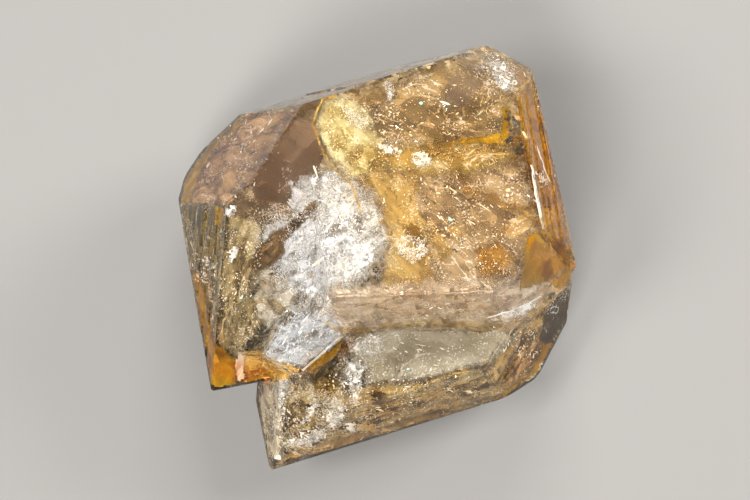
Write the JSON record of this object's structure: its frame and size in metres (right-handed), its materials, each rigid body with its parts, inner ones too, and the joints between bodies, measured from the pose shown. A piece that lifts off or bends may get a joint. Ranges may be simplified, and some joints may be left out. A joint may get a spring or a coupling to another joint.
{
  "type": "herkimer diamond crystal",
  "caption": "Doubly terminated quartz crystal grown together with a smaller parallel one, clear to smoky with golden iron stain and white inner fractures.",
  "frame": {"origin": "middle of the bounding box, on the plane of the flat face it rests on", "axes": "+X along the crystals' long axis towards the upper end, +Z out of the large top face, +Y towards the left side faces"},
  "size_m": [0.0768, 0.0703, 0.0373],
  "materials": {
    "quartz": "clear smoky quartz with golden stain, natural glossy faces"
  },
  "bodies": {
    "root": {"crystal": "quartz"}
  },
  "joints": []
}
